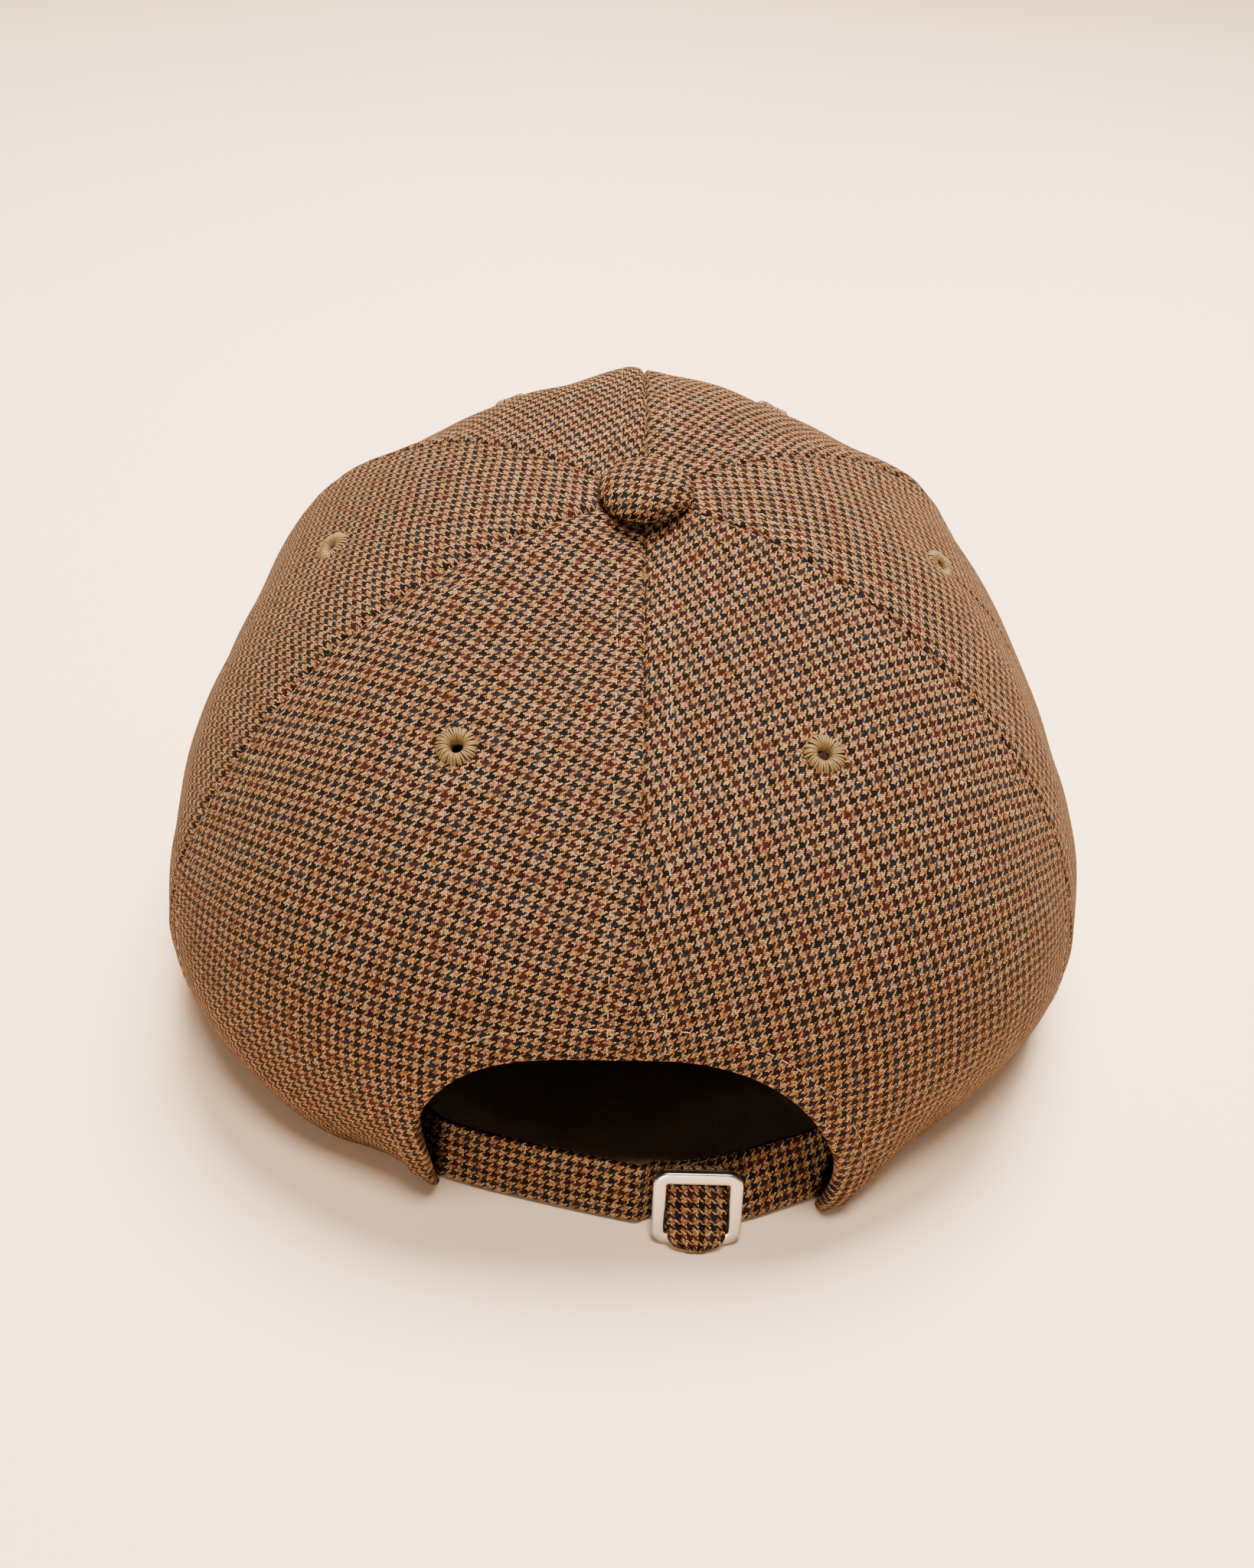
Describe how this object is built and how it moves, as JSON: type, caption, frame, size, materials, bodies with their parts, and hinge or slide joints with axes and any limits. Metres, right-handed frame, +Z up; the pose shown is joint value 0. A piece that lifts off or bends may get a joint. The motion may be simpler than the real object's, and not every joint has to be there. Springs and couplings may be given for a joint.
{
  "type": "six-panel baseball cap",
  "caption": "Round cloth cap with a domed six-panel crown, curved peak, top button, sewn eyelets and a back opening closed by a buckled strap.",
  "frame": {"origin": "centre of the bounding box at its base, on the surface that the cap rests on", "axes": "+Z up, -Y towards the peak, +Y towards the back opening and its buckle, +X towards the wearer's left"},
  "size_m": [0.1976, 0.2554, 0.1113],
  "materials": {
    "wool": "brushed wool houndstooth in tan, black, maroon and navy",
    "black_cloth": "matt black cotton twill",
    "thread": "khaki embroidery thread",
    "buckle_metal": "satin plated metal"
  },
  "bodies": {
    "root": {"panel_front_left": "wool", "panel_side_left": "wool", "panel_back_left": "wool", "panel_back_right": "wool", "panel_side_right": "wool", "panel_front_right": "wool", "eyelet_front_left": "thread", "eyelet_side_left": "thread", "eyelet_back_left": "thread", "eyelet_back_right": "thread", "eyelet_side_right": "thread", "eyelet_front_right": "thread", "button": "wool", "peak": "wool", "sweatband": "black_cloth", "strap_long": "wool", "strap_short": "wool", "buckle": "buckle_metal", "buckle_tab": "wool"}
  },
  "joints": []
}
